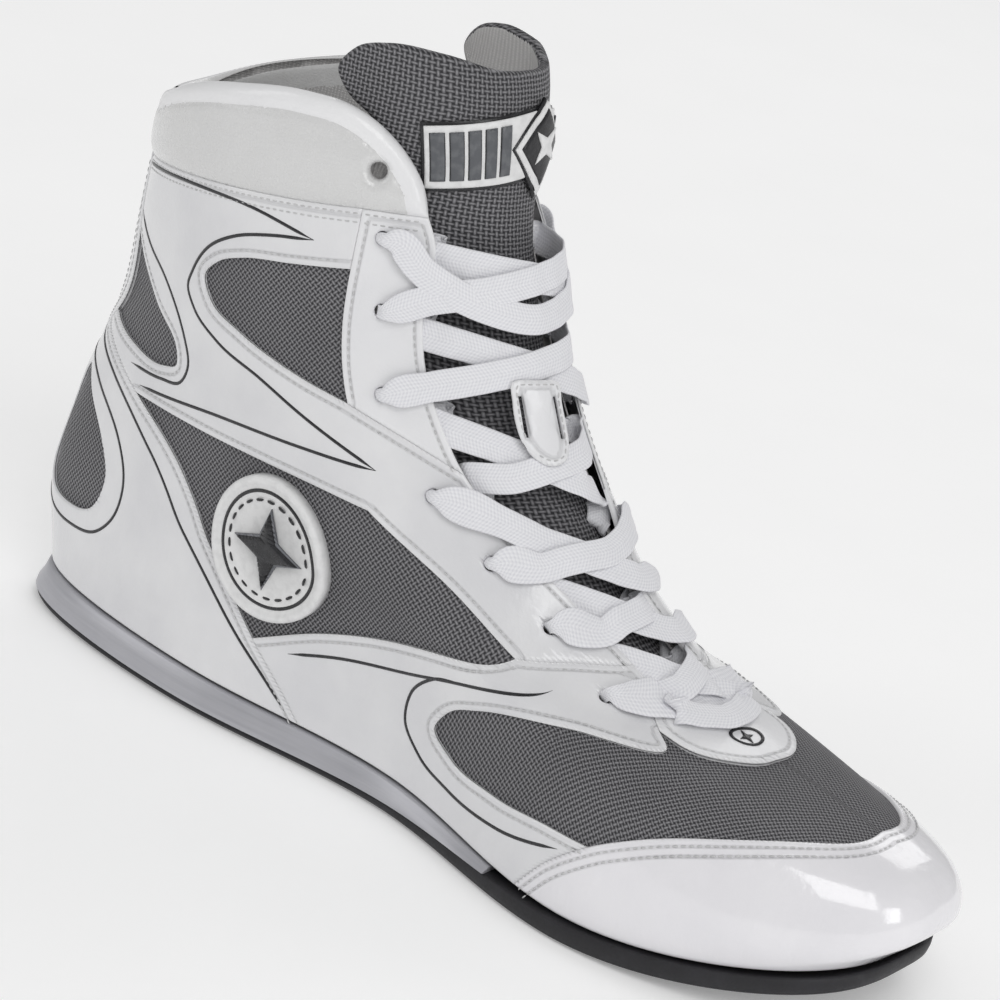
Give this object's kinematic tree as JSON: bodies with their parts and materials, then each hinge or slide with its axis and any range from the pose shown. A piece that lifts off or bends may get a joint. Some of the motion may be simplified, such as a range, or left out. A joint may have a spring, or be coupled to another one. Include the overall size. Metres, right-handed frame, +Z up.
{
  "type": "boxing boot",
  "caption": "High-top boxing boot for the left foot: glossy synthetic leather over mesh, flat rubber sole, laced front with a padded tongue, flexing forefoot.",
  "frame": {"origin": "under the middle of the boot's bounding box, on the ground under the flat rubber sole", "axes": "+X towards the toe along the boot's length, +Y towards its outer (lateral) side, which is the wearer's left, +Z up"},
  "size_m": [0.299, 0.0976, 0.1994],
  "materials": {
    "coated_leather": "glossy",
    "toe_leather": "glossy",
    "white_leather": "satin",
    "collar_leather": "glossy",
    "midsole_band": "satin",
    "outsole_rubber": "matte",
    "mesh": "woven",
    "lining": "matte",
    "foam": "matte",
    "board": "matte",
    "stiffener": "matte",
    "lace": "matte",
    "black_rubber": "glossy",
    "white_rubber": "satin"
  },
  "bodies": {
    "boot": {"outsole_rear": "outsole_rubber", "midsole_wedge": "midsole_band", "insole_board_rear": "board", "sockliner": "foam", "saddle_medial": "coated_leather", "saddle_lateral": "coated_leather", "heel_panel_medial": "coated_leather", "heel_panel_lateral": "coated_leather", "ankle_panel_medial": "coated_leather", "ankle_panel_lateral": "coated_leather", "eyestay_medial": "white_leather", "eyestay_lateral": "white_leather", "throat_tab": "white_leather", "back_strip": "white_leather", "vamp_mesh": "mesh", "quarter_mesh_medial": "mesh", "quarter_mesh_lateral": "mesh", "ankle_mesh_medial": "mesh", "ankle_mesh_lateral": "mesh", "achilles_mesh_medial": "mesh", "achilles_mesh_lateral": "mesh", "heel_mesh_medial": "mesh", "heel_mesh_lateral": "mesh", "collar_cover_medial": "collar_leather", "collar_cover_lateral": "collar_leather", "collar_foam_medial": "foam", "collar_foam_lateral": "foam", "vamp_lining": "lining", "quarter_lining_medial": "lining", "quarter_lining_lateral": "lining", "heel_lining": "lining", "heel_counter": "stiffener", "tongue": "mesh", "badge_disc_medial": "white_rubber", "badge_disc_lateral": "white_rubber", "badge_star_medial": "black_rubber", "badge_star_lateral": "black_rubber", "throat_oval": "black_rubber", "lace": "lace", "lace_keeper": "white_leather"},
    "forefoot": {"outsole_front": "outsole_rubber", "insole_board_front": "board", "toe_cap": "toe_leather", "toe_puff": "stiffener", "toe_lining": "lining"},
    "tongue_top": {"tongue_flap": "mesh", "tongue_label": "white_rubber", "label_stud": "black_rubber"}
  },
  "joints": [
    {"name": "forefoot_flex", "type": "hinge", "parent": "boot", "child": "forefoot", "pos_m": [0.05188, 0, 0.0084], "axis": [0, -1, 0], "range_deg": [0, 30], "stiffness_Nm_per_rad": 0.6, "deforming": ["vamp_mesh", "vamp_lining", "saddle_medial", "saddle_lateral", "sockliner"]},
    {"name": "tongue_fold", "type": "hinge", "parent": "boot", "child": "tongue_top", "pos_m": [-0.01979, 0, 0.15938], "axis": [0, 1, 0], "range_deg": [0, 35], "stiffness_Nm_per_rad": 0.05}
  ]
}
